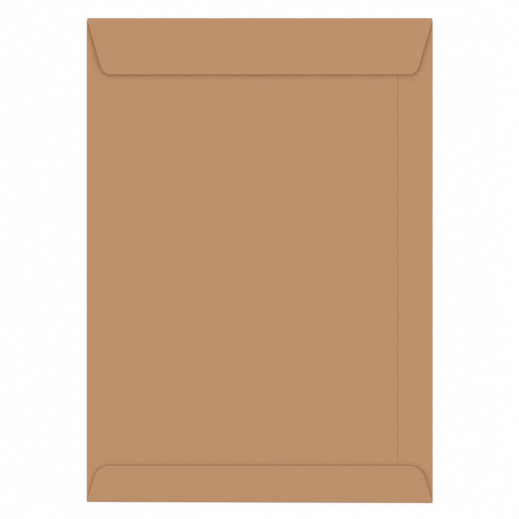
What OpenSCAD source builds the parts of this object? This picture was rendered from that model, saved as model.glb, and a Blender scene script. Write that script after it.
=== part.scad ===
// Pocket envelope folded and glued from one sheet of kraft paper.
// It lies on its front. The back, with both flaps, faces up, and the closing flap is at the +Y end.

/* [Envelope] */
// Width of the closed envelope across its side folds
envelope_w = 250; // [160:1:350]
// Length of the closed envelope from its bottom fold to its top fold
envelope_l = 350; // [200:1:450]

/* [Paper] */
// Thickness of the kraft sheet
paper_t = 0.12; // [0.08:0.01:0.3]
// Air between the front and the back of the empty pocket
pocket_gap = 0.3; // [0.1:0.05:3]

/* [Side seam] */
// Distance of the seam's open edge from the right side fold
seam_inset = 25.8; // [15:0.1:60]
// Width of the narrow back panel that is glued under the wide one
seam_lap = 14; // [6:0.5:30]

/* [Closing flap] */
// Depth of the closing flap from the top fold to its free edge
flap_depth = 40.4; // [25:0.1:80]
// Distance that each side of the closing flap runs in on its way to the free edge
flap_taper = 11.6; // [2:0.1:30]
// Radius of the closing flap's two free corners
flap_corner_r = 7.5; // [2:0.1:12]
// Gap under the closing flap at the top fold, which isn't pressed hard
crease_gap = 0.7; // [0.05:0.05:2]
// Further height that the free edge springs up, because nothing seals it
flap_lift = 0.9; // [0.2:0.1:6]
// Distance of the pocket's mouth from the start of the top fold
mouth_drop = 1.3; // [1:0.1:10]

/* [Bottom flap] */
// Depth of the glued bottom flap from the bottom fold to its edge
bottom_depth = 26.4; // [16:0.1:60]
// Distance that each side of the bottom flap runs in on its way to the edge
bottom_taper = 8.1; // [2:0.1:30]
// Radius of the bottom flap's two corners
bottom_corner_r = 11.6; // [2:0.1:13]

/* [Hidden] */

// Flat steps in each curved stretch of paper
curve_steps = 12;
// Length by which one stretch of the sheet runs into the next
overlap = 0.5;
// Length that an outline leaves to spare round the stretch that it trims
spare = 1;
kraft = [0.74, 0.565, 0.423];

half_w = envelope_w / 2;
half_l = envelope_l / 2;

// Outer radii of the folds. Each turn goes round one more layer than the one before it.
narrow_fold_r = paper_t + pocket_gap / 2;
wide_fold_r = narrow_fold_r + paper_t / 2;
bottom_fold_r = wide_fold_r + paper_t / 2;
top_fold_r = bottom_fold_r + crease_gap / 2;

// Lines on which the folds start
top_fold_y = half_l - top_fold_r;
bottom_fold_y = bottom_fold_r - half_l;
mouth_y = top_fold_y - mouth_drop;

// Edges of the two back panels, the wide one on top of the narrow one
seam_x = half_w - seam_inset;
lap_x = seam_x - seam_lap;

// The closing flap leaves its fold at this angle and levels out along one arc
spring_angle = 2 * atan(flap_lift / (flap_depth - top_fold_r));
flap_curve_r = top_fold_r + (flap_depth - top_fold_r) / sin(spring_angle);
top_fold_centre = [top_fold_y, top_fold_r];
flap_curve_centre = top_fold_centre
    - (flap_curve_r - top_fold_r) * [sin(spring_angle), cos(spring_angle)];

// Points along an arc, without its first
function arc(centre, r, from, to) = [
    for (i = [1:curve_steps])
        let (angle = from + (to - from) * i / curve_steps)
            centre + r * [cos(angle), sin(angle)]
];

// Section of a stretch of paper between the line of its outer face and that of its inner face
function paper_section(outer, inner) = concat(outer, [for (i = [len(inner) - 1:-1:0]) inner[i]]);

// From the middle of the front, round a side fold and over the back to a panel's edge, in X and Z
function side_line(fold_r, edge_x, depth) = concat(
    [[0, depth], [half_w - fold_r, depth]],
    arc([half_w - fold_r, fold_r], fold_r - depth, -90, 90),
    [[edge_x, 2 * fold_r - depth]]
);

// From the front, up round the top fold and along the sprung flap, in Y and Z
function closing_line(depth) = concat(
    [[top_fold_y - overlap, depth], [top_fold_y, depth]],
    arc(top_fold_centre, top_fold_r - depth, -90, 90 - spring_angle),
    arc(flap_curve_centre, flap_curve_r - depth, 90 - spring_angle, 90 + spring_angle / 8)
);

// From the front, up round the bottom fold and flat along the back, in Y and Z
function bottom_line(depth) = concat(
    [[bottom_fold_y + overlap, depth], [bottom_fold_y, depth]],
    arc([bottom_fold_y, bottom_fold_r], bottom_fold_r - depth, 270, 90),
    [[bottom_depth + spare - half_l, 2 * bottom_fold_r - depth]]
);

// Cut outline of a flap that hangs down from its fold line at y = 0
module flap_outline(depth, taper, corner_r, fold_r) {
    root_x = half_w - wide_fold_r;
    edge_y = fold_r - depth;
    slant = atan(taper / -edge_y);
    corner_x = root_x - taper;
    tangent = corner_r * tan(45 - slant / 2);
    for (side = [-1, 1])
        translate([side * (corner_x - tangent), edge_y + corner_r])
            circle(corner_r, $fn = 96);
    half = [
        [root_x, fold_r + spare],
        [root_x, 0],
        [corner_x + tangent * sin(slant), edge_y + tangent * cos(slant)],
        [corner_x - tangent, edge_y]
    ];
    polygon(concat(half, [for (i = [len(half) - 1:-1:0]) [-half[i].x, half[i].y]]));
}

// Stretch of paper with its section in Y and Z, trimmed to a flap's outline
module trimmed_flap(outer, inner) {
    intersection() {
        rotate([90, 0, 90])
            linear_extrude(envelope_w, center = true)
                polygon(paper_section(outer, inner));
        translate([0, 0, -spare])
            linear_extrude(2 * (spare + top_fold_r) + flap_lift)
                children();
    }
}

// Half of the pocket's wall, with its section in X and Z
module side_wall(fold_r, edge_x) {
    translate([0, mouth_y, 0])
        rotate([90, 0, 0])
            linear_extrude(mouth_y - bottom_fold_y)
                polygon(paper_section(side_line(fold_r, edge_x, 0), side_line(fold_r, edge_x, paper_t)));
}

// Front and back of the pocket, open at the mouth, with the wide panel glued over the narrow one
module pocket() {
    side_wall(narrow_fold_r, lap_x);
    mirror([1, 0, 0])
        side_wall(wide_fold_r, -seam_x);
}

// Strip of the front that runs on past the mouth to the top fold
module front_lip() {
    translate([wide_fold_r - half_w, mouth_y - overlap, 0])
        cube([envelope_w - 2 * wide_fold_r, overlap + mouth_drop, paper_t]);
}

module closing_flap() {
    trimmed_flap(closing_line(0), closing_line(paper_t))
        translate([0, top_fold_y])
            flap_outline(flap_depth, flap_taper, flap_corner_r, top_fold_r);
}

module bottom_flap() {
    trimmed_flap(bottom_line(0), bottom_line(paper_t))
        translate([0, bottom_fold_y])
            mirror([0, 1])
                flap_outline(bottom_depth, bottom_taper, bottom_corner_r, bottom_fold_r);
}

module envelope() {
    color(kraft) {
        pocket();
        front_lip();
        closing_flap();
        bottom_flap();
    }
}

envelope();
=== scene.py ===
"""Kraft paper pocket envelope, lying on its front on a pale studio floor.

The envelope is one sheet of paper. Its middle surface is laid out panel by panel, carried round the
folds, given the paper's thickness, and dressed with a pulp, fibre and crease finish. The finish also
paints shade along the folds and beside the edges of the sheets above, and a highlight along the cuts.
"""

import logging
import math
from dataclasses import dataclass
from enum import Enum
from functools import reduce

import bpy
import numpy as np
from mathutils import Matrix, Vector

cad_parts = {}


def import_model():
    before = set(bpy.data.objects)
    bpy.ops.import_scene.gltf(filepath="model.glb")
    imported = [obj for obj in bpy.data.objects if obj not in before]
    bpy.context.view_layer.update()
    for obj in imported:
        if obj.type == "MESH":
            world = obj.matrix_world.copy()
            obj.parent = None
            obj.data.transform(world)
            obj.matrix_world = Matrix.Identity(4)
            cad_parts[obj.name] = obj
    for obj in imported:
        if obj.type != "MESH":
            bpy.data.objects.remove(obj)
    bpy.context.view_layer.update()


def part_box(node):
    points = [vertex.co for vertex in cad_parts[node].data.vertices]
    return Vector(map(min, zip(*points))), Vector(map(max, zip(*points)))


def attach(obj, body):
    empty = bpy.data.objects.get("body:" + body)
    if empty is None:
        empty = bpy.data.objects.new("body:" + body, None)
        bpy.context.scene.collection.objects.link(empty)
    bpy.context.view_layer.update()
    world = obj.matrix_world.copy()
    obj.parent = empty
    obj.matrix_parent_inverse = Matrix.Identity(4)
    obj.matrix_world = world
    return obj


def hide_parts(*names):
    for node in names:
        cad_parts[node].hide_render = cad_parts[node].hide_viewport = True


MM = 0.001
LOG = logging.getLogger("kraft_envelope")

# Distance that stands for nowhere near
FAR_OFF = 1.0
# Name of the flat map of the sheet, and the space on it between the sheet's outer and inner face
SHEET_MAP = "Blank"
MAP_GAP = 10 * MM
# Angle between faces, in degrees, from which the edge between them is drawn sharp
SHARP_ANGLE = 50

Array = np.ndarray
Material = bpy.types.Material
NodeTree = bpy.types.NodeTree
Socket = bpy.types.NodeSocket
Colour = tuple[float, float, float, float]
WHITE: Colour = (1.0, 1.0, 1.0, 1.0)


class End(Enum):
    """End of the envelope, as the sign of its direction along Y."""

    TOP = 1
    BOTTOM = -1


class Face(Enum):
    """Faces of the sheet, as their places in the list of materials."""

    PAPER = 0
    CUT_EDGE = 1


class Mark(Enum):
    """Distances that the finish depends on, as the names of the mesh's attributes.

    The shelter is how far a place lies inside the outline of the sheet over it. It is negative outside
    that outline, and places the painted shade near that outline.
    """

    FOLD = "fold_distance"
    EDGE = "edge_distance"
    SHELTER = "shelter_depth"


class SocketKind(Enum):
    """Kinds of socket that the shared effects have."""

    VALUE = "NodeSocketFloat"
    VECTOR = "NodeSocketVector"


def build_up(distance: Array, reach: float) -> Array:
    """Share that grows from 0, where there is no distance, towards 1 over a reach."""
    return 1 - np.exp(-np.clip(distance, 0, None) / reach)


@dataclass(frozen=True)
class Weave:
    """Spacing of the grid that the sheet's middle surface is built on, in metres.

    A line of points starts and ends with the fine step. Away from its ends each step is longer by
    the growth times the distance from the nearer end, up to the coarse step.
    """

    fine: float = 0.45 * MM
    coarse: float = 3.3 * MM
    growth: float = 0.22
    trial_points: int = 4001
    fold_steps: int = 12
    corner_steps: int = 12

    def line(self, start: float, end: float) -> Array:
        """Spaces points along a line, close together near both of its ends.

        Args:
            start: first place.
            end: last place.

        Returns:
            The places, from start to end.
        """
        length = abs(end - start)
        places = np.linspace(0, length, self.trial_points)
        middles = (places[1:] + places[:-1]) / 2
        steps = self.fine + self.growth * np.minimum(middles, length - middles)
        shares = np.diff(places) / np.minimum(steps, self.coarse)
        count = np.concatenate(([0.0], np.cumsum(shares)))
        wanted = np.linspace(0, count[-1], math.ceil(count[-1]) + 1)
        return start + np.sign(end - start) * np.interp(wanted, count, places)

    def half_turn(self) -> Array:
        """Angles of the points round a fold, from the first after its start to its end."""
        return np.linspace(0, math.pi, self.fold_steps + 1)[1:]


WEAVE = Weave()


@dataclass(frozen=True)
class Patch:
    """Stretch of the sheet's middle surface, as a grid with rows and columns.

    The points are the places on the folded sheet, and the blank those on the flat one.
    """

    points: Array
    blank: Array
    marks: dict[Mark, Array]


@dataclass(frozen=True)
class PocketRelief:
    """Soft shape of the empty pocket's back, added to its flat height, in metres.

    The crown is the full rise. A share of it comes close to the hard-creased side folds, and the
    reaches say how far from the sides and the ends the rest builds up. Two faint waves run over it.
    """

    half_width: float
    half_length: float
    crown: float = 0.5 * MM
    crease_share: float = 0.3
    crease_reach: float = 2.5 * MM
    side_reach: float = 32 * MM
    top_reach: float = 60 * MM
    bottom_reach: float = 42 * MM
    wave: float = 0.05 * MM
    wave_x: float = 118 * MM
    wave_y: float = 93 * MM
    phase_x: float = 1.1
    phase_y: float = 0.4
    cross_lean: float = 0.6
    cross_phase: float = 2.3

    def height(self, x: Array, y: Array) -> Array:
        """Rise of the back above its flat state.

        Args:
            x: places across the envelope.
            y: places along the envelope.

        Returns:
            The rise at each place.
        """
        sides = self._spring(self.half_width - x) * self._spring(self.half_width + x)
        top = build_up(self.half_length - y, self.top_reach)
        bottom = build_up(self.half_length + y, self.bottom_reach)
        wave_x = np.sin(math.tau * x / self.wave_x + self.phase_x)
        wave_y = np.cos(math.tau * y / self.wave_y + self.phase_y)
        slanted = (self.cross_lean * x + y) / (self.wave_x + self.wave_y)
        cross = np.sin(math.tau * slanted + self.cross_phase)
        return sides * top * bottom * (self.crown + self.wave * (wave_x * wave_y + cross))

    def _spring(self, inset: Array) -> Array:
        """Share of the full rise at a distance from a side fold."""
        crease = self.crease_share * build_up(inset, self.crease_reach)
        return crease + (1 - self.crease_share) * build_up(inset, self.side_reach)


@dataclass(frozen=True)
class Fold:
    """Half turn of the sheet: the turn's outer radius and the paper's thickness, in metres.

    Its methods give points of the middle surface in three rows: how far they reach past the fold
    line, how high they lie, and how far from that line they are along the flat sheet.
    """

    radius: float
    paper: float

    @property
    def middle(self) -> float:
        """Radius of the middle surface round the turn."""
        return self.radius - self.paper / 2

    def front(self, reach: Array) -> Array:
        """Points of the front panel, which ends at the fold line."""
        return np.array((reach, np.full_like(reach, self.paper / 2), reach))

    def turn(self, angles: Array) -> Array:
        """Points round the turn, at angles from its start."""
        height = self.radius - self.middle * np.cos(angles)
        return np.array((self.middle * np.sin(angles), height, self.middle * angles))

    def back(self, inward: Array) -> Array:
        """Points past the turn, at distances back from the fold line."""
        height = np.full_like(inward, self.radius + self.middle)
        return np.array((-inward, height, self.middle * math.pi + inward))


@dataclass(frozen=True)
class FlapCut:
    """Outline of a flap on the flat sheet, in metres.

    The taper is how far each side runs in, and the shift is how far off the middle the free edge is.
    """

    depth: float
    taper: float
    corner: float
    shift: float = 0.0


@dataclass(frozen=True)
class FlapRise:
    """Heights that a flap springs up by, with the reaches over which they fade, in metres.

    The crease rise comes close to the fold, and the spring over the whole run. The end, left and
    right lifts are those of the free edges, and the side lifts fade out round the corners.
    """

    spring: float
    end: float
    left: float
    right: float
    crease: float = 0.0
    crease_reach: float = 0.8 * MM
    rim_reach: float = 2.4 * MM
    corner_reach: float = 2.4 * MM

    def height(self, x: Array, inward: Array, run: float, free_end: Array, sides: Array) -> Array:
        """Height of the flap above its flat state.

        Args:
            x: places across the envelope.
            inward: distances from the fold line.
            run: distance of the free edge from the fold line.
            free_end: distances from the free edge.
            sides: distances from the nearer slanted side.

        Returns:
            The height at each place.
        """
        share = inward / run
        loose = self.crease * build_up(inward, self.crease_reach)
        loose = loose + self.spring * share * (2 - share)
        end_rim = self.end * np.exp(-free_end / self.rim_reach)
        side_rim = np.where(x < 0, self.left, self.right) * np.exp(-sides / self.rim_reach)
        side_rim = side_rim * build_up(free_end, self.corner_reach)
        return loose + (end_rim + side_rim) * build_up(inward, self.rim_reach)


@dataclass(frozen=True)
class Flap:
    """Flap with slanted sides and rounded corners, hinged on the front panel by a fold.

    A flap that is glued down follows the relief of the back under it.
    """

    end: End
    cut: FlapCut
    rise: FlapRise
    fold: Fold
    fold_y: float
    root_half_width: float
    follows: PocketRelief | None = None

    @property
    def run(self) -> float:
        """Length of the flap from its fold line to its free edge."""
        return self.cut.depth - self.fold.radius

    @property
    def edge_y(self) -> float:
        """Place of the free edge along the envelope."""
        return self.fold_y - self.end.value * self.run

    @property
    def slant(self) -> float:
        """Angle of the flap's sides to the envelope's length, in radians."""
        return math.atan(self.cut.taper / self.run)

    @property
    def tangent(self) -> float:
        """Length of a side, or of the free edge, that a rounded corner takes up."""
        return self.cut.corner * math.tan(math.pi / 4 - self.slant / 2)

    @property
    def corner_middle(self) -> float:
        """Distance of a corner's centre from the middle of the flap."""
        return self.root_half_width - self.cut.taper - self.tangent

    def patch(self, lip: Array, x: Array) -> Patch:
        """Lays the flap out from the front panel, round the fold and over the back.

        Args:
            lip: places along Y that the front still covers before the fold, without the first.
            x: columns of the front panel.

        Returns:
            The patch, whose rows start next to the pocket's own end row.
        """
        along, half_widths = self._rows()
        front = self.fold.front(self.end.value * (lip - self.fold_y))
        turn = self.fold.turn(WEAVE.half_turn())
        reach, level, flat = np.hstack((front, turn, self.fold.back(along)))[:, :, None]
        before = len(reach) - len(along)
        inward = np.concatenate((np.zeros(before), along))[:, None]
        half_width = np.concatenate((np.full(before, self.root_half_width), half_widths))[:, None]

        blank_x = half_width / self.root_half_width * x
        blank_y = np.broadcast_to(self.fold_y + self.end.value * flat, blank_x.shape)
        grid_x = blank_x + self.cut.shift * inward / self.run
        grid_y = np.broadcast_to(self.fold_y + self.end.value * reach, blank_x.shape)
        on_flap = inward > 0
        free_end = np.where(on_flap, self.run - inward, FAR_OFF)
        sides = (half_width - np.abs(blank_x)) * math.cos(self.slant)
        sides = np.where(on_flap, np.clip(sides, 0, None), FAR_OFF)
        height = level + self.rise.height(grid_x, inward, self.run, free_end, sides)
        if self.follows:
            height = height + np.where(on_flap, self.follows.height(grid_x, grid_y), 0)

        half_turn = self.fold.middle * math.pi / 2
        fold_distance = np.clip(np.abs(flat - half_turn) - half_turn, 0, None)
        marks = {
            Mark.FOLD: np.broadcast_to(fold_distance, blank_x.shape),
            Mark.EDGE: np.minimum(free_end, sides),
            Mark.SHELTER: np.full(blank_x.shape, -FAR_OFF),
        }
        points = np.dstack((grid_x, grid_y, height))
        return Patch(points, np.dstack((blank_x, blank_y)), marks)

    def cover(self, x: Array, y: Array) -> Array:
        """Distance of places inside the flap's outline from above, negative outside it.

        Args:
            x: places across the envelope.
            y: places along the envelope.

        Returns:
            The distance at each place.
        """
        inward = self.end.value * (self.fold_y - y)
        across = np.abs(x - self.cut.shift * inward / self.run)
        half_width = self.root_half_width - inward * math.tan(self.slant)
        sides = (half_width - across) * math.cos(self.slant)
        straight = np.minimum(sides, self.run - inward)
        beside = across - self.corner_middle
        beyond = inward - (self.run - self.cut.corner)
        side_of_corner = beyond * math.cos(self.slant) - beside * math.sin(self.slant)
        in_corner = (beside > 0) & (side_of_corner > 0)
        return np.where(in_corner, self.cut.corner - np.hypot(beside, beyond), straight)

    def _rows(self) -> tuple[Array, Array]:
        """Places the flap's rows, without the one on the fold line.

        Returns:
            The distance of each row from the fold line, and half the flap's width there.
        """
        straight_end = self.run - self.tangent * math.cos(self.slant)
        straight = WEAVE.line(0, straight_end)[1:]
        straight_w = self.root_half_width - straight * math.tan(self.slant)
        angles = np.linspace(self.slant, math.pi / 2, WEAVE.corner_steps + 1)[1:]
        round_at = self.run - self.cut.corner * (1 - np.sin(angles))
        round_w = self.corner_middle + self.cut.corner * np.cos(angles)
        return np.concatenate((straight, round_at)), np.concatenate((straight_w, round_w))


@dataclass(frozen=True)
class WallSection:
    """Section of the pocket's wall, from the narrow panel's free edge to the wide panel's.

    Each point has its place in X and Z on the folded sheet, and its place along the flat one. The
    slices are the points of the three panels, and those of the two folds lie between them.
    """

    x: Array
    z: Array
    flat: Array
    narrow: slice
    front: slice
    wide: slice


@dataclass(frozen=True)
class Pocket:
    """Front panel with the two back panels that are folded over it and glued along the seam.

    The wide panel ends at the seam, and the narrow one under it, at the lap. The seam's open edge
    stands up by its lift.
    """

    half_width: float
    narrow_fold: Fold
    wide_fold: Fold
    seam_x: float
    lap_x: float
    mouth_y: float
    closing: Flap
    bottom: Flap
    relief: PocketRelief
    seam_lift: float = 0.52 * MM
    seam_reach: float = 4.0 * MM
    seam_ease: float = 3.0 * MM

    @property
    def right(self) -> float:
        """Place in X at which the narrow panel's fold starts."""
        return self.half_width - self.narrow_fold.radius

    @property
    def left(self) -> float:
        """Place in X at which the wide panel's fold starts."""
        return self.wide_fold.radius - self.half_width

    def section(self) -> WallSection:
        """Carries the wall round both side folds.

        Returns:
            The wall's section.
        """
        angles = WEAVE.half_turn()[:-1]
        narrow_run = self.right - WEAVE.line(self.lap_x, self.right)
        wide_run = WEAVE.line(self.left, self.seam_x) - self.left
        right = np.hstack((self.narrow_fold.back(narrow_run), self.narrow_fold.turn(angles[::-1])))
        left = np.hstack((self.wide_fold.turn(angles), self.wide_fold.back(wide_run)))
        front_x, front_z, _ = self.wide_fold.front(WEAVE.line(self.right, self.left))
        x = np.concatenate((self.right + right[0], front_x, self.left - left[0]))
        z = np.concatenate((right[1], front_z, left[1]))
        flat = np.concatenate((self.right + right[2], front_x, self.left - left[2]))
        first = right.shape[1]
        front = slice(first, first + len(front_x))
        wide = slice(len(x) - len(wide_run), len(x))
        return WallSection(x, z, flat, slice(0, len(narrow_run)), front, wide)

    def patch(self, section: WallSection) -> Patch:
        """Runs the wall's section from the bottom fold to the mouth.

        Args:
            section: the wall's section.

        Returns:
            The patch, with a column for each point of the section.
        """
        x, y = np.meshgrid(section.x, WEAVE.line(self.bottom.fold_y, self.mouth_y))
        wide = section.wide
        height = np.tile(section.z, (len(x), 1))
        for panel in (section.narrow, wide):
            height[:, panel] += self.relief.height(x[:, panel], y[:, panel])
        height[:, wide] += self._seam_height(x[:, wide], y[:, wide])
        flat = np.tile(section.flat, (len(x), 1))
        marks = self._marks(section, x, y)
        return Patch(np.dstack((x, y, height)), np.dstack((flat, y)), marks)

    def _marks(self, section: WallSection, x: Array, y: Array) -> dict[Mark, Array]:
        """Works out the distances that the wall's finish depends on.

        Args:
            section: the wall's section.
            x: places across the envelope.
            y: places along the envelope.

        Returns:
            The distances at each place.
        """
        flat = section.flat
        narrow = section.narrow
        front = section.front
        side_folds = np.minimum(np.abs(flat - self.right), np.abs(flat - self.left))
        fold = np.tile(side_folds, (len(y), 1))
        end_folds = np.minimum(y - self.bottom.fold_y, self.closing.fold_y - y)
        fold[:, front] = np.minimum(fold[:, front], end_folds[:, front])
        side_cuts = np.minimum(np.abs(flat - flat[0]), np.abs(flat - flat[-1]))
        edge = np.tile(side_cuts, (len(y), 1))
        for panel in (narrow, section.wide):
            edge[:, panel] = np.minimum(edge[:, panel], self.mouth_y - y[:, panel])
        # How far each place lies under a flap or under the wide panel; this places the painted shade.
        shelter = np.maximum(self.closing.cover(x, y), self.bottom.cover(x, y))
        shelter[:, narrow] = np.maximum(shelter[:, narrow], self.seam_x - x[:, narrow])
        shelter[:, front] = -FAR_OFF
        return {Mark.FOLD: fold, Mark.EDGE: edge, Mark.SHELTER: shelter}

    def _seam_height(self, x: Array, y: Array) -> Array:
        """Lift of the wide panel's free edge, which the bottom flap holds down at its end."""
        free = build_up(y - self.bottom.edge_y, self.seam_ease)
        return self.seam_lift * free * np.exp(-(self.seam_x - x) / self.seam_reach)


@dataclass(frozen=True)
class BottomSkew:
    """Small error of the bottom fold, which runs down towards the seam side, in metres."""

    half_width: float
    half_length: float
    drop: float = 0.4 * MM
    fade: float = 26.4 * MM
    fade_power: float = 1.5

    def moved(self, points: Array) -> Array:
        """Moves points along Y, most at the bottom fold and none past the bottom flap.

        Args:
            points: places of the points.

        Returns:
            The new places.
        """
        above = (points[:, 1] + self.half_length) / self.fade
        share = np.clip(1 - above, 0, 1) ** self.fade_power
        moved = points.copy()
        moved[:, 1] -= self.drop * points[:, 0] / self.half_width * share
        return moved


class SheetBuilder:
    """Joins patches into one middle surface and gives it the paper's thickness."""

    def __init__(self) -> None:
        """Starts an empty sheet."""
        self._points: list[Array] = []
        self._blank: list[Array] = []
        self._marks: dict[Mark, list[Array]] = {mark: [] for mark in Mark}
        self._quads: list[Array] = []
        self._count = 0

    def add(self, patch: Patch, hinge: Array | None = None, flipped: bool = False) -> Array:
        """Adds a patch.

        Args:
            patch: the patch.
            hinge: numbers of the points, already in the sheet, that its first row continues from.
            flipped: whether its rows run against the sheet's own direction along Y.

        Returns:
            The numbers of its points, with the hinge as the first row where there is one.
        """
        rows, columns, _ = patch.points.shape
        numbers = self._count + np.arange(rows * columns).reshape(rows, columns)
        self._count += rows * columns
        self._points.append(patch.points.reshape(-1, 3))
        self._blank.append(patch.blank.reshape(-1, 2))
        for mark, values in patch.marks.items():
            self._marks[mark].append(values.reshape(-1))
        if hinge is not None:
            numbers = np.vstack((hinge, numbers))
        corners = (numbers[:-1, :-1], numbers[:-1, 1:], numbers[1:, 1:], numbers[1:, :-1])
        quads = np.dstack(corners).reshape(-1, 4)
        self._quads.append(quads[:, ::-1] if flipped else quads)
        return numbers

    def skew(self, error: BottomSkew) -> None:
        """Applies the error of the bottom fold to every point."""
        self._points = [error.moved(points) for points in self._points]

    def mesh(self, name: str, paper: float) -> bpy.types.Mesh:
        """Thickens the middle surface into a closed mesh.

        Args:
            name: name of the mesh.
            paper: thickness of the sheet.

        Returns:
            The mesh, with the sheet's flat coordinates as a UV map and its distances as attributes.
        """
        points = np.vstack(self._points)
        quads = np.vstack(self._quads)
        count = len(points)
        offset = self._normals(points, quads) * paper / 2
        rim = self._rim(quads, count)
        sides = np.column_stack((rim[:, 1], rim[:, 0], rim[:, 0] + count, rim[:, 1] + count))
        faces = np.vstack((quads, quads[:, ::-1] + count, sides))

        mesh = bpy.data.meshes.new(name)
        mesh.from_pydata(np.vstack((points + offset, points - offset)).tolist(), [], faces.tolist())
        material = np.full(len(faces), Face.PAPER.value, np.int32)
        material[2 * len(quads):] = Face.CUT_EDGE.value
        mesh.polygons.foreach_set("material_index", material)
        mesh.shade_smooth()
        mesh.set_sharp_from_angle(angle=math.radians(SHARP_ANGLE))

        blank = np.vstack(self._blank)[faces % count]
        blank[len(quads):2 * len(quads), :, 0] += np.ptp(blank[..., 0]) + MAP_GAP
        layer = mesh.uv_layers.new(name=SHEET_MAP)
        layer.uv.foreach_set("vector", blank.reshape(-1).astype(np.float32))
        for mark, parts in self._marks.items():
            values = np.tile(np.concatenate(parts), 2).astype(np.float32)
            mesh.attributes.new(mark.value, "FLOAT", "POINT").data.foreach_set("value", values)
        mesh.validate()
        mesh.update()
        return mesh

    @staticmethod
    def _normals(points: Array, quads: Array) -> Array:
        """Works out the unit normals of the middle surface, on the sheet's outer side.

        Args:
            points: places of the points.
            quads: numbers of the points of each quad.

        Returns:
            The normal at each point.
        """
        first, second, third, fourth = points[quads.T]
        faces = np.cross(third - first, fourth - second)
        normals = np.zeros_like(points)
        for corner in quads.T:
            np.add.at(normals, corner, faces)
        return normals / np.linalg.norm(normals, axis=1, keepdims=True)

    @staticmethod
    def _rim(quads: Array, count: int) -> Array:
        """Finds the edges that only one quad has.

        Args:
            quads: numbers of the points of each quad.
            count: number of points in the sheet.

        Returns:
            The two ends of each such edge, in the direction in which its quad runs along it.
        """
        starts = quads.T.ravel()
        ends = np.roll(quads, -1, axis=1).T.ravel()
        alone = ~np.isin(starts * count + ends, ends * count + starts)
        return np.column_stack((starts[alone], ends[alone]))


class Bench:
    """Lays out the nodes of one tree.

    The methods after node() add what their docstrings name, and return its output.
    """

    def __init__(self, tree: NodeTree) -> None:
        """Takes over a tree and clears it."""
        self.tree = tree
        tree.nodes.clear()

    def node(self, kind: str, inputs: dict | None = None, **settings: object) -> bpy.types.Node:
        """Adds a node.

        Args:
            kind: type of the node.
            inputs: a value or an output socket for each input, by name or place.
            settings: properties of the node.

        Returns:
            The node.
        """
        made = self.tree.nodes.new(kind)
        for name, value in settings.items():
            setattr(made, name, value)
        for key, value in (inputs or {}).items():
            if isinstance(value, Socket):
                self.tree.links.new(value, made.inputs[key])
            else:
                made.inputs[key].default_value = value
        return made

    def math(self, operation: str, *values: object) -> Socket:
        """Result of an operation on numbers."""
        return self.node("ShaderNodeMath", dict(enumerate(values)), operation=operation).outputs[0]

    def joined(self, operation: str, values: list[Socket]) -> Socket:
        """Result of joining several numbers by one operation."""
        return reduce(lambda first, second: self.math(operation, first, second), values)

    def smooth(self, value: object, low: object, high: object) -> Socket:
        """Soft step from 0 at low to 1 at high."""
        inputs = {"Value": value, "From Min": low, "From Max": high}
        return self.node("ShaderNodeMapRange", inputs, interpolation_type="SMOOTHSTEP").outputs[0]

    def noise(self, vector: object, detail: float, roughness: float = 0.5) -> Socket:
        """Flat noise with cells one unit wide."""
        inputs = {"Vector": vector, "Scale": 1.0, "Detail": detail, "Roughness": roughness}
        return self.node("ShaderNodeTexNoise", inputs, noise_dimensions="2D").outputs[0]

    def scaled(self, vector: object, factor: object) -> Socket:
        """Vector or colour times a number."""
        inputs = {0: vector, "Scale": factor}
        return self.node("ShaderNodeVectorMath", inputs, operation="SCALE").outputs[0]

    def combined(self, operation: str, first: object, second: object) -> Socket:
        """Sum or product of two vectors or colours."""
        inputs = {0: first, 1: second}
        return self.node("ShaderNodeVectorMath", inputs, operation=operation).outputs[0]

    def stretched(self, vector: object, x: object, y: object) -> Socket:
        """Vector times one factor in X and another in Y."""
        factors = self.node("ShaderNodeCombineXYZ", {"X": x, "Y": y, "Z": 1.0})
        return self.combined("MULTIPLY", vector, factors.outputs[0])

    def tint(self, factor: object, first: object, second: object) -> Socket:
        """Mix of two colours."""
        inputs = {0: factor, 6: first, 7: second}
        return self.node("ShaderNodeMix", inputs, data_type="RGBA").outputs[2]

    def mark(self, mark: Mark) -> Socket:
        """One of the sheet's distances."""
        return self.node("ShaderNodeAttribute", attribute_name=mark.value).outputs["Fac"]

    def effect(self, effect: NodeTree, place: Socket, **values: object) -> Socket:
        """Shared effect with values of its own."""
        return self.node("ShaderNodeGroup", {"place": place, **values}, node_tree=effect).outputs[0]

    def background_rays(self) -> Socket:
        """Mask of the rays that see the background, straight or in a gloss or glass."""
        path = self.node("ShaderNodeLightPath").outputs
        rays = [path[f"Is {ray} Ray"] for ray in ("Camera", "Glossy", "Transmission")]
        return self.joined("MAXIMUM", rays)


class EffectBench(Bench):
    """Bench for the node group of one effect, with named inputs and one output."""

    def __init__(self, name: str, values: tuple[str, ...], output: str) -> None:
        """Makes the group and its sockets, with the place on the paper as the first input.

        Args:
            name: name of the group.
            values: names of the inputs that are values, as the finishes' fields name them.
            output: name of the output, which is a value.
        """
        super().__init__(bpy.data.node_groups.new(name, "ShaderNodeTree"))
        place = ("place", "INPUT", SocketKind.VECTOR)
        inputs = [(value, "INPUT", SocketKind.VALUE) for value in values]
        for label, side, kind in (place, *inputs, (output, "OUTPUT", SocketKind.VALUE)):
            self.tree.interface.new_socket(name=label, in_out=side, socket_type=kind.value)
        self._given = self.node("NodeGroupInput")
        self._put = self.node("NodeGroupOutput")

    def given(self, label: str) -> Socket:
        """One of the group's inputs, to be used inside it."""
        return self._given.outputs[label]

    def finish(self, value: Socket) -> NodeTree:
        """Links a value to the group's output and returns the group."""
        self.tree.links.new(value, self._put.inputs[0])
        return self.tree


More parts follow.
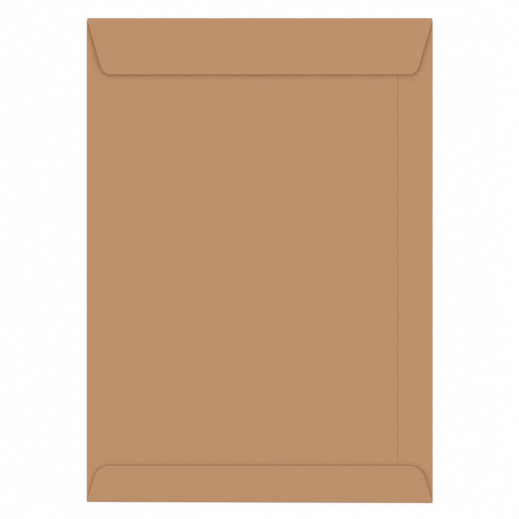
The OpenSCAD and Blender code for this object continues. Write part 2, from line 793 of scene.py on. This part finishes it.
class PaperEffects:
    """Shared effects of the paper, each a node group that is built once."""

    def __init__(self) -> None:
        """Builds every effect."""
        self.pulp = self._pulp()
        self.strands = self._strands()
        self.tooth = self._tooth()
        self.shives = self._shives()
        self.wear_and_painted_light = self._rub()

    @staticmethod
    def _pulp() -> NodeTree:
        """Makes the cloudy variation of the pulp.

        Returns:
            The group, which puts out a factor near 1.
        """
        bench = EffectBench("pulp_cloud", ("size", "depth"), "tone")
        scale = bench.math("DIVIDE", 1.0, bench.given("size"))
        cloud = bench.noise(bench.scaled(bench.given("place"), scale), detail=3.0, roughness=0.6)
        swing = bench.math("SUBTRACT", cloud, 0.5)
        return bench.finish(bench.math("MULTIPLY_ADD", swing, bench.given("depth"), 1.0))

    @staticmethod
    def _strands() -> NodeTree:
        """Makes fibres that lie about one direction.

        A fibre runs where a stretched noise crosses its middle value. A second look at the noise,
        further along, decides where fibres are kept.

        Returns:
            The group, which puts out a mask of the fibres.
        """
        further_along = (17.3, 5.1, 0.0)
        fade = 0.08
        values = ("angle", "spacing", "stretch", "thinness", "cover")
        bench = EffectBench("fibre_strands", values, "strands")
        inputs = {"Vector": bench.given("place"), "Angle": bench.given("angle")}
        turned = bench.node("ShaderNodeVectorRotate", inputs, rotation_type="Z_AXIS")
        across = bench.math("DIVIDE", 1.0, bench.given("spacing"))
        along = bench.math("DIVIDE", across, bench.given("stretch"))
        place = bench.stretched(turned.outputs[0], across, along)
        field = bench.noise(place, detail=1.0)
        level = bench.math("ABSOLUTE", bench.math("SUBTRACT", field, 0.5))
        line = bench.math("SUBTRACT", 1.0, bench.smooth(level, 0.0, bench.given("thinness")))
        gate = bench.noise(bench.combined("ADD", place, further_along), detail=1.0)
        limit = bench.math("SUBTRACT", 1.0, bench.given("cover"))
        kept = bench.smooth(gate, limit, bench.math("ADD", limit, fade))
        return bench.finish(bench.math("MULTIPLY", line, kept))

    @staticmethod
    def _tooth() -> NodeTree:
        """Makes the fine relief of the paper's surface.

        Returns:
            The group, which puts out a height from 0 to 1.
        """
        bench = EffectBench("paper_tooth", ("grain",), "height")
        scale = bench.math("DIVIDE", 1.0, bench.given("grain"))
        place = bench.scaled(bench.given("place"), scale)
        return bench.finish(bench.noise(place, detail=4.0, roughness=0.7))

    @staticmethod
    def _shives() -> NodeTree:
        """Makes sparse dark slivers of wood.

        Returns:
            The group, which puts out a mask of the slivers.
        """
        narrowness = 0.4
        bench = EffectBench("wood_shives", ("spacing", "size", "cover"), "slivers")
        across = bench.math("DIVIDE", 1.0, bench.given("spacing"))
        along = bench.math("MULTIPLY", across, narrowness)
        inputs = {"Vector": bench.stretched(bench.given("place"), across, along), "Scale": 1.0}
        cells = bench.node("ShaderNodeTexVoronoi", inputs, voronoi_dimensions="2D")
        chances = bench.node("ShaderNodeSeparateColor", {0: cells.outputs["Color"]})
        size = bench.math("MULTIPLY", bench.given("size"), chances.outputs[1])
        spot = bench.math("SUBTRACT", 1.0, bench.smooth(cells.outputs["Distance"], 0.0, size))
        kept = bench.math("LESS_THAN", chances.outputs[0], bench.given("cover"))
        return bench.finish(bench.math("MULTIPLY", spot, kept))

    @staticmethod
    def _rub() -> NodeTree:
        """Makes the strip beside a fold or a cut, broken up along its length, which carries wear and
        painted light.

        Returns:
            The group, which puts out a mask of the strip.
        """
        breaks_per_metre = 1 / (2.2 * MM)
        whole_below = 0.3
        worn_above = 0.62
        broken_share = 0.6
        bench = EffectBench("worn_and_painted_light_strip", ("distance", "reach"), "wear_and_painted_light")
        far = bench.smooth(bench.given("distance"), 0.0, bench.given("reach"))
        strip = bench.math("SUBTRACT", 1.0, far)
        place = bench.scaled(bench.given("place"), breaks_per_metre)
        wear = bench.noise(place, detail=3.0, roughness=0.65)
        worn = bench.smooth(wear, whole_below, worn_above)
        patchy = bench.math("MULTIPLY_ADD", worn, broken_share, 1 - broken_share)
        return bench.finish(bench.math("MULTIPLY", strip, patchy))


class MaterialBench(Bench):
    """Bench for one material."""

    def __init__(self, name: str) -> None:
        """Makes an empty material and takes over its tree."""
        self._material = bpy.data.materials.new(name)
        self._material.use_nodes = True
        super().__init__(self._material.node_tree)

    def finish(self, shader: bpy.types.Node) -> Material:
        """Links a shader to the material's output and returns the material."""
        self.node("ShaderNodeOutputMaterial", {"Surface": shader.outputs[0]})
        return self._material


@dataclass(frozen=True)
class Cloud:
    """Clouds in the pulp: their size in metres and how far they swing the tone."""

    size: float
    depth: float


@dataclass(frozen=True)
class FibreLayer:
    """Layer of fibres: its direction in radians, its sizes, and the share of the sheet it covers.

    The spacing is in metres, the stretch is length over spacing, and the thinness is relative.
    """

    angle: float
    spacing: float
    stretch: float
    thinness: float
    cover: float


@dataclass(frozen=True)
class Slivers:
    """Slivers of wood: the spacing of their cells in metres, their size and share in those cells."""

    spacing: float
    size: float
    cover: float


@dataclass(frozen=True)
class StripTone:
    """Tone of the strip beside a fold or a cut, partly wear and partly painted light: its strength, and
    its reach in metres.
    """

    colour: Colour
    share: float
    reach: float


@dataclass(frozen=True)
class PaperFinish:
    """What the paper's finishes share: a colour, a roughness, a fine tooth and a faint gloss.

    The tooth has the size of its grain and the depth of its relief, in metres. The specular is the
    strength of the gloss, where 0.5 is that of a plain surface.
    """

    colour: Colour
    roughness: float
    grain: float
    relief: float
    specular: float
    ior: float = 1.45

    def shader(self, bench: Bench, colour: Socket, roughness: object, height: Socket) -> bpy.types.Node:
        """Adds the shader of bare paper.

        Args:
            bench: bench of the material.
            colour: colour of the surface.
            roughness: roughness of the surface, as a number or an output.
            height: height of its tooth, from 0 to 1.

        Returns:
            The shader's node.
        """
        inputs = {"Strength": 1.0, "Distance": self.relief, "Height": height}
        return bench.node("ShaderNodeBsdfPrincipled", {
            "Base Color": colour,
            "Roughness": roughness,
            "IOR": self.ior,
            "Specular IOR Level": self.specular,
            "Normal": bench.node("ShaderNodeBump", inputs).outputs[0],
        })


@dataclass(frozen=True)
class KraftFace(PaperFinish):
    """Finish of the paper's two faces: uncoated brown kraft, matt, with its fibres showing.

    The colour is multiplied by a warmer tone where another sheet lies over the paper or close beside
    its edge: painted warm shade, standing in for light that has passed between two brown sheets. The
    strip beside each fold is darker, partly pressed wear and partly painted shade, and the strip beside
    each cut is paler, partly frayed fibres and partly a painted highlight.
    """

    colour: Colour = (0.499, 0.272, 0.139, 1.0)
    roughness: float = 0.86
    grain: float = 0.32 * MM
    relief: float = 0.012 * MM
    specular: float = 0.25
    pale: Colour = (0.640, 0.400, 0.229, 1.0)
    dark: Colour = (0.330, 0.160, 0.078, 1.0)
    sliver: Colour = (0.220, 0.105, 0.052, 1.0)
    pale_share: float = 0.30
    dark_share: float = 0.26
    sliver_share: float = 0.55
    clouds: tuple[Cloud, ...] = (Cloud(7.5 * MM, depth=0.065), Cloud(1.6 * MM, depth=0.085))
    pale_layers: tuple[FibreLayer, ...] = (
        FibreLayer(angle=0.10, spacing=0.55 * MM, stretch=4.0, thinness=0.030, cover=0.50),
        FibreLayer(angle=-0.55, spacing=0.75 * MM, stretch=4.5, thinness=0.024, cover=0.48),
        FibreLayer(angle=0.95, spacing=0.90 * MM, stretch=4.0, thinness=0.022, cover=0.46),
    )
    dark_layers: tuple[FibreLayer, ...] = (
        FibreLayer(angle=-0.20, spacing=0.70 * MM, stretch=4.5, thinness=0.026, cover=0.47),
        FibreLayer(angle=0.50, spacing=0.95 * MM, stretch=4.0, thinness=0.020, cover=0.45),
    )
    slivers: Slivers = Slivers(spacing=3.4 * MM, size=0.11, cover=0.16)
    # Darker strip beside the folds: partly pressed wear, partly painted shade of the fold's curve.
    pressed: StripTone = StripTone((0.430, 0.228, 0.116, 1.0), share=0.4, reach=2.0 * MM)
    # Paler strip beside the cuts: partly frayed fibres, partly a painted highlight on the edge.
    torn: StripTone = StripTone((0.585, 0.350, 0.200, 1.0), share=0.5, reach=0.8 * MM)
    # Painted warm shade under the sheets above and just beside their edges.
    sheltered: Colour = (1.0, 0.99, 0.90, 1.0)
    shelter_reach: float = 2.2 * MM
    fibre_roughness: float = 0.74
    pale_relief: float = 0.45
    dark_relief: float = 0.3

    def material(self, effects: PaperEffects) -> Material:
        """Builds the material.

        Args:
            effects: shared effects of the paper.

        Returns:
            The material.
        """
        bench = MaterialBench("kraft_face")
        sheet = bench.node("ShaderNodeUVMap", uv_map=SHEET_MAP).outputs[0]
        clouds = [bench.effect(effects.pulp, sheet, **vars(cloud)) for cloud in self.clouds]
        pale, dark = (
            bench.joined("MAXIMUM", [
                bench.effect(effects.strands, sheet, **vars(layer))
                for layer in layers
            ])
            for layers in (self.pale_layers, self.dark_layers)
        )
        slivers = bench.effect(effects.shives, sheet, **vars(self.slivers))
        colour = bench.scaled(self.colour[:3], bench.joined("MULTIPLY", clouds))
        for mask, share, fibre in (
            (dark, self.dark_share, self.dark),
            (pale, self.pale_share, self.pale),
            (slivers, self.sliver_share, self.sliver),
        ):
            colour = bench.tint(bench.math("MULTIPLY", mask, share), colour, fibre)
        # Strips beside folds and cuts: wear, with painted shade along the folds and a painted highlight
        # along the cuts.
        for mark, strip in ((Mark.FOLD, self.pressed), (Mark.EDGE, self.torn)):
            wear_and_painted_light = bench.effect(effects.wear_and_painted_light, sheet, distance=bench.mark(mark), reach=strip.reach)
            colour = bench.tint(bench.math("MULTIPLY", wear_and_painted_light, strip.share), colour, strip.colour)
        # Painted warm shade, where another sheet lies over the paper or close beside its edge.
        under = bench.smooth(bench.mark(Mark.SHELTER), -self.shelter_reach, 0.0)
        colour = bench.combined("MULTIPLY", colour, bench.tint(under, WHITE, self.sheltered))

        height = bench.effect(effects.tooth, sheet, grain=self.grain)
        height = bench.math("MULTIPLY_ADD", pale, self.pale_relief, height)
        height = bench.math("MULTIPLY_ADD", dark, self.dark_relief, height)
        spread = self.fibre_roughness - self.roughness
        roughness = bench.math("MULTIPLY_ADD", pale, spread, self.roughness)
        return bench.finish(self.shader(bench, colour, roughness, height))


@dataclass(frozen=True)
class CutEdge(PaperFinish):
    """Finish of the cut edges, where the sheet's frayed fibres show paler than its faces."""

    colour: Colour = (0.585, 0.355, 0.205, 1.0)
    roughness: float = 0.92
    grain: float = 0.12 * MM
    relief: float = 0.02 * MM
    specular: float = 0.2
    cloud: Cloud = Cloud(0.8 * MM, depth=0.35)

    def material(self, effects: PaperEffects) -> Material:
        """Builds the material.

        Args:
            effects: shared effects of the paper.

        Returns:
            The material.
        """
        bench = MaterialBench("kraft_cut_edge")
        place = bench.node("ShaderNodeTexCoord").outputs["Object"]
        cloud = bench.effect(effects.pulp, place, **vars(self.cloud))
        colour = bench.scaled(self.colour[:3], cloud)
        height = bench.effect(effects.tooth, place, grain=self.grain)
        return bench.finish(self.shader(bench, colour, self.roughness, height))


@dataclass(frozen=True)
class Envelope:
    """The folded sheet. Its sizes are those of the solid that it stands for, in metres.

    The flaps are a little deeper and the creases a little tighter than the solid's, because the
    flaps also spring up here.
    """

    width: float
    length: float
    paper: float = 0.12 * MM
    pocket_gap: float = 0.3 * MM
    top_gap: float = 0.5 * MM
    bottom_gap: float = 0.6 * MM
    seam_inset: float = 25.85 * MM
    seam_lap: float = 14 * MM
    mouth_drop: float = 1.3 * MM
    closing_cut: FlapCut = FlapCut(40.74 * MM, taper=11.6 * MM, corner=7.5 * MM)
    closing_rise: FlapRise = FlapRise(
        spring=0.3 * MM, end=0.35 * MM, left=1.25 * MM, right=0.65 * MM, crease=0.8 * MM
    )
    bottom_cut: FlapCut = FlapCut(26.7 * MM, taper=8.0 * MM, corner=11.6 * MM, shift=-0.4 * MM)
    bottom_rise: FlapRise = FlapRise(
        spring=0.35 * MM, end=0.45 * MM, left=0.85 * MM, right=1.2 * MM, rim_reach=6.0 * MM
    )

    def build(self, effects: PaperEffects) -> bpy.types.Object:
        """Folds, thickens and dresses the sheet.

        Args:
            effects: shared effects of the paper.

        Returns:
            The piece.
        """
        mesh = self._fold().mesh("kraft_sheet", self.paper)
        for finish in (KraftFace(), CutEdge()):
            mesh.materials.append(finish.material(effects))
        piece = bpy.data.objects.new("kraft_sheet", mesh)
        bpy.context.scene.collection.objects.link(piece)
        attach(piece, "root")
        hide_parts("envelope")
        return piece

    def _fold(self) -> SheetBuilder:
        """Folds the sheet. Each turn goes round one more layer than the one before it.

        Returns:
            The folded sheet's middle surface.
        """
        half_width = self.width / 2
        half_length = self.length / 2
        narrow_r = self.paper + self.pocket_gap / 2
        wide_r = narrow_r + self.paper / 2
        tight_r = wide_r + self.paper / 2
        top_fold = Fold(tight_r + self.top_gap / 2, self.paper)
        bottom_fold = Fold(tight_r + self.bottom_gap / 2, self.paper)
        relief = PocketRelief(half_width, half_length)
        closing = Flap(
            End.TOP,
            self.closing_cut,
            self.closing_rise,
            top_fold,
            fold_y=half_length - top_fold.radius,
            root_half_width=half_width - wide_r,
        )
        bottom = Flap(
            End.BOTTOM,
            self.bottom_cut,
            self.bottom_rise,
            bottom_fold,
            fold_y=bottom_fold.radius - half_length,
            root_half_width=half_width - wide_r,
            follows=relief,
        )
        seam_x = half_width - self.seam_inset
        pocket = Pocket(
            half_width,
            narrow_fold=Fold(narrow_r, self.paper),
            wide_fold=Fold(wide_r, self.paper),
            seam_x=seam_x,
            lap_x=seam_x - self.seam_lap,
            mouth_y=closing.fold_y - self.mouth_drop,
            closing=closing,
            bottom=bottom,
            relief=relief,
        )

        sheet = SheetBuilder()
        section = pocket.section()
        wall = sheet.add(pocket.patch(section))
        front_x = section.x[section.front]
        lip = WEAVE.line(pocket.mouth_y, closing.fold_y)[1:]
        sheet.add(closing.patch(lip, front_x), hinge=wall[-1, section.front])
        no_lip = np.empty(0)
        sheet.add(bottom.patch(no_lip, front_x), hinge=wall[0, section.front], flipped=True)
        sheet.skew(BottomSkew(half_width, half_length))
        return sheet


@dataclass(frozen=True)
class StudioFloor:
    """Plain pale floor that keeps a faint shadow of the envelope."""

    size: float = 8.0
    drop: float = 0.03 * MM
    colour: Colour = (0.97, 0.97, 0.97, 1.0)
    shadow_share: float = 0.2

    def build(self) -> bpy.types.Object:
        """Makes the floor and its material.

        Returns:
            The floor.
        """
        half = self.size / 2
        corners = [(-half, -half), (half, -half), (half, half), (-half, half)]
        mesh = bpy.data.meshes.new("studio_floor")
        mesh.from_pydata([(x, y, -self.drop) for x, y in corners], [], [(0, 1, 2, 3)])
        mesh.materials.append(self._material())
        floor = bpy.data.objects.new("studio_floor", mesh)
        bpy.context.scene.collection.objects.link(floor)
        return floor

    def _material(self) -> Material:
        """Makes a floor that is white to the camera and keeps a share of its light and shadow.

        Returns:
            The material.
        """
        bench = MaterialBench("pale_floor")
        lit = bench.node("ShaderNodeBsdfDiffuse", {"Color": self.colour})
        white = bench.node("ShaderNodeEmission", {"Color": WHITE, "Strength": 1.0})
        share = bench.math("MULTIPLY", bench.background_rays(), 1 - self.shadow_share)
        shaders = {0: share, 1: lit.outputs[0], 2: white.outputs[0]}
        return bench.finish(bench.node("ShaderNodeMixShader", shaders))


@dataclass(frozen=True)
class SoftKey:
    """Broad lamp far off: its angles in degrees and its share of the light on the floor."""

    name: str
    azimuth: float
    elevation: float
    share: float
    spread: float = 26

    def build(self) -> None:
        """Makes the lamp, which shines from its azimuth, measured from +Y towards +X."""
        azimuth = math.radians(self.azimuth)
        elevation = math.radians(self.elevation)
        towards = Vector((
            math.sin(azimuth) * math.cos(elevation),
            math.cos(azimuth) * math.cos(elevation),
            math.sin(elevation),
        ))
        data = bpy.data.lights.new(self.name, "SUN")
        data.energy = self.share * math.pi / math.sin(elevation)
        data.angle = math.radians(self.spread)
        lamp = bpy.data.objects.new(self.name, data)
        lamp.rotation_mode = "QUATERNION"
        lamp.rotation_quaternion = towards.to_track_quat("Z", "Y")
        lamp.location = towards
        bpy.context.scene.collection.objects.link(lamp)


@dataclass(frozen=True)
class StudioLight:
    """Soft dome that fades out towards the horizon, between two elevations in degrees, and keys."""

    keys: tuple[SoftKey, ...] = (
        SoftKey("top_key", azimuth=0, elevation=30, share=0.08),
        SoftKey("left_key", azimuth=-88, elevation=38, share=0.06),
        SoftKey("right_key", azimuth=86, elevation=42, share=0.06),
    )
    dark_below: float = 8
    full_above: float = 30
    trial_points: int = 1001

    def build(self) -> None:
        """Makes the key lamps and the world."""
        for key in self.keys:
            key.build()

        world = bpy.data.worlds.new("studio")
        world.use_nodes = True
        bench = Bench(world.node_tree)
        direction = bench.node("ShaderNodeTexCoord").outputs["Generated"]
        height = bench.node("ShaderNodeSeparateXYZ", {0: direction}).outputs["Z"]
        low, high = (math.sin(math.radians(angle)) for angle in (self.dark_below, self.full_above))
        dome = bench.smooth(height, low, high)
        dome_share = 1 - sum(key.share for key in self.keys)
        strength = bench.math("MULTIPLY", dome, dome_share / self._dome_share(low, high))
        soft = bench.node("ShaderNodeBackground", {"Color": WHITE, "Strength": strength})
        white = bench.node("ShaderNodeBackground", {"Color": WHITE, "Strength": 1.0})
        shaders = {0: bench.background_rays(), 1: soft.outputs[0], 2: white.outputs[0]}
        mixed = bench.node("ShaderNodeMixShader", shaders)
        bench.node("ShaderNodeOutputWorld", {"Surface": mixed.outputs[0]})
        bpy.context.scene.world = world

    def _dome_share(self, low: float, high: float) -> float:
        """Share of an even dome's light on the floor that is left when it fades near the horizon.

        Args:
            low: sine of the elevation below which the dome is dark.
            high: sine of the elevation above which it is fully bright.

        Returns:
            The share.
        """
        sine = np.linspace(0, 1, self.trial_points)
        step = np.clip((sine - low) / (high - low), 0, 1)
        return float(np.mean(2 * sine * step**2 * (3 - 2 * step)))


@dataclass(frozen=True)
class PhotoCamera:
    """Camera straight above the envelope, framed as the photograph is."""

    height: float = 1.6
    pixels: int = 519
    pixel_size: float = 0.7229 * MM
    sensor: float = 36.0
    aim_x: float = -0.165 * MM
    aim_y: float = 0.62 * MM

    def build(self) -> None:
        """Makes the camera and gives it to the scene."""
        data = bpy.data.cameras.new("camera")
        data.sensor_width = self.sensor
        data.lens = self.sensor * self.height / (self.pixels * self.pixel_size)
        camera = bpy.data.objects.new("camera", data)
        camera.location = (self.aim_x, self.aim_y, self.height)
        bpy.context.scene.collection.objects.link(camera)
        bpy.context.scene.camera = camera


def main() -> None:
    """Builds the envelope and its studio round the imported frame."""
    logging.basicConfig(level=logging.INFO, format="%(message)s")
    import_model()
    low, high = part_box("envelope")
    bpy.context.scene.view_settings.view_transform = "Standard"

    PhotoCamera().build()
    envelope = Envelope(width=high.x - low.x, length=high.y - low.y)
    piece = envelope.build(PaperEffects())
    LOG.info("%s: %d faces", piece.name, len(piece.data.polygons))
    floor = StudioFloor().build()
    LOG.info("%s: %.1f m square", floor.name, floor.dimensions.x)
    StudioLight().build()


if __name__ == "__main__":
    main()
